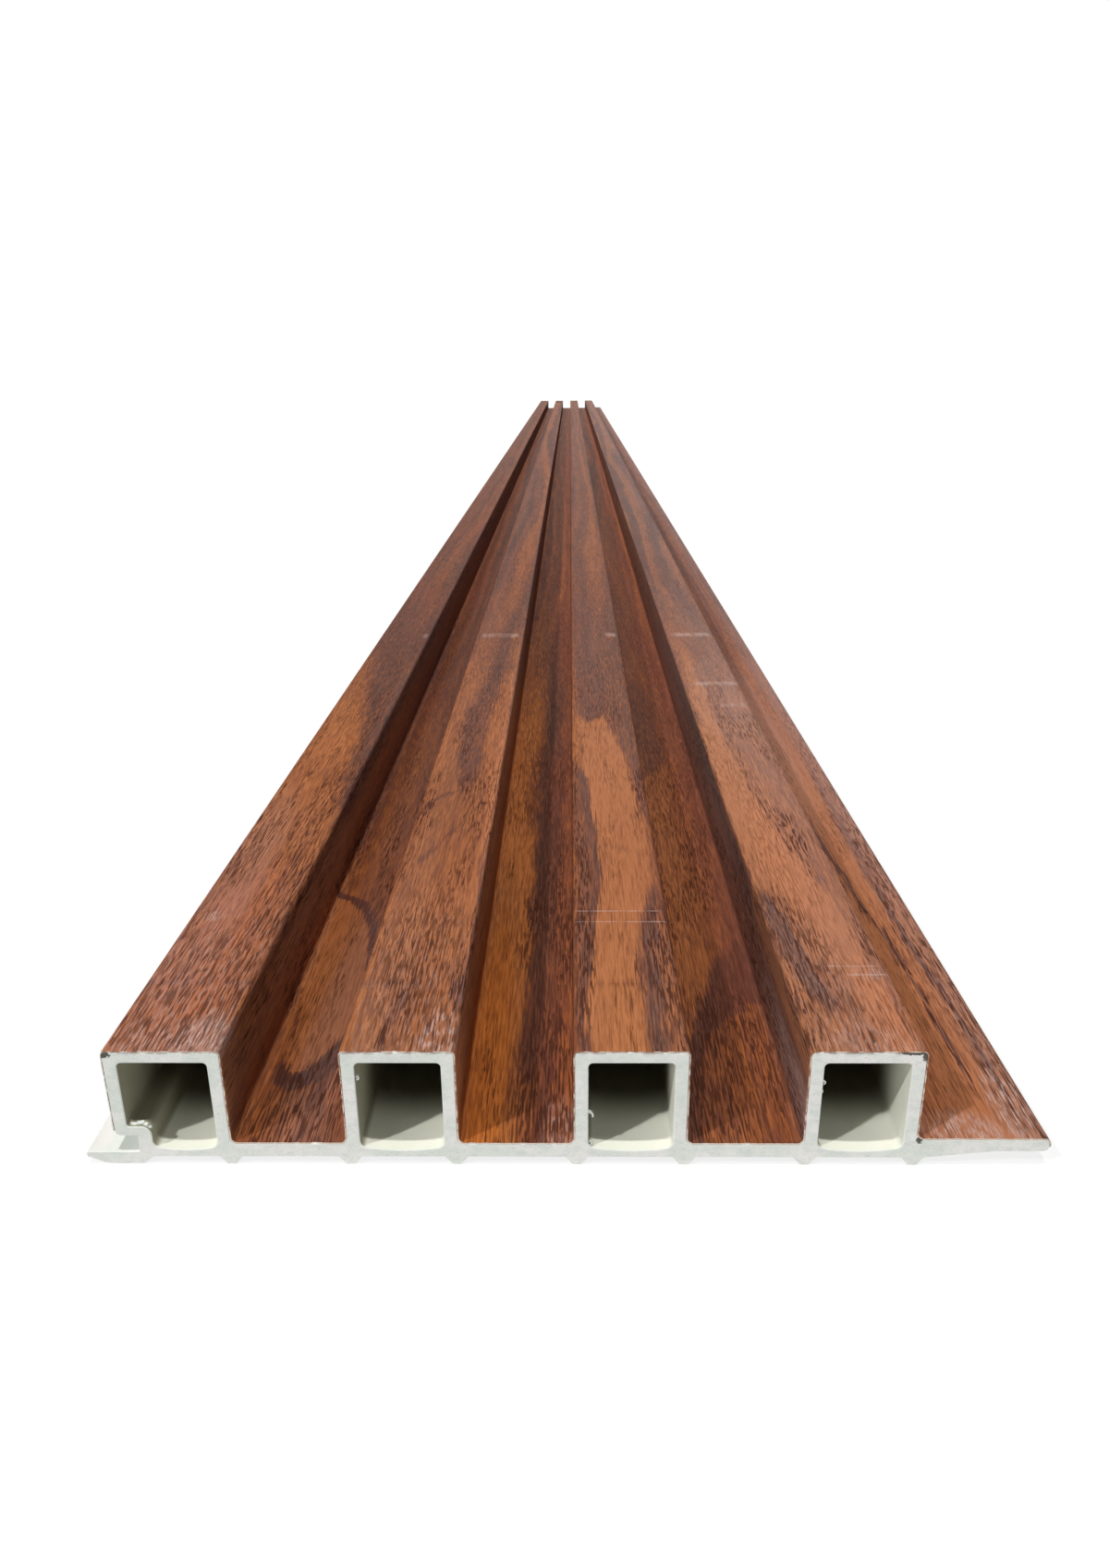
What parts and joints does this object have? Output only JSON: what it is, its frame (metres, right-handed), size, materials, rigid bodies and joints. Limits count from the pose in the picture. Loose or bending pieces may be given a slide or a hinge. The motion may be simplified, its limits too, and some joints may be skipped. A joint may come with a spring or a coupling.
{
  "type": "composite wall panel",
  "caption": "Fluted hollow composite wall panel with a wood-grain film on its face, a tongue along one edge and a fixing lip with a groove along the other.",
  "frame": {"origin": "middle of the back, at mid-length and mid-width, in the plane that the panel rests on", "axes": "+Y along the length, +X across the ribs towards the tongue, +Z out of the decorated face"},
  "size_m": [0.16, 2.9, 0.0223],
  "materials": {
    "composite_core": "matt extruded composite with sawn ends",
    "woodgrain_film": "satin embossed red-brown wood-grain print"
  },
  "bodies": {
    "root": {"extruded_core": "composite_core", "woodgrain_film": "woodgrain_film"}
  },
  "joints": []
}
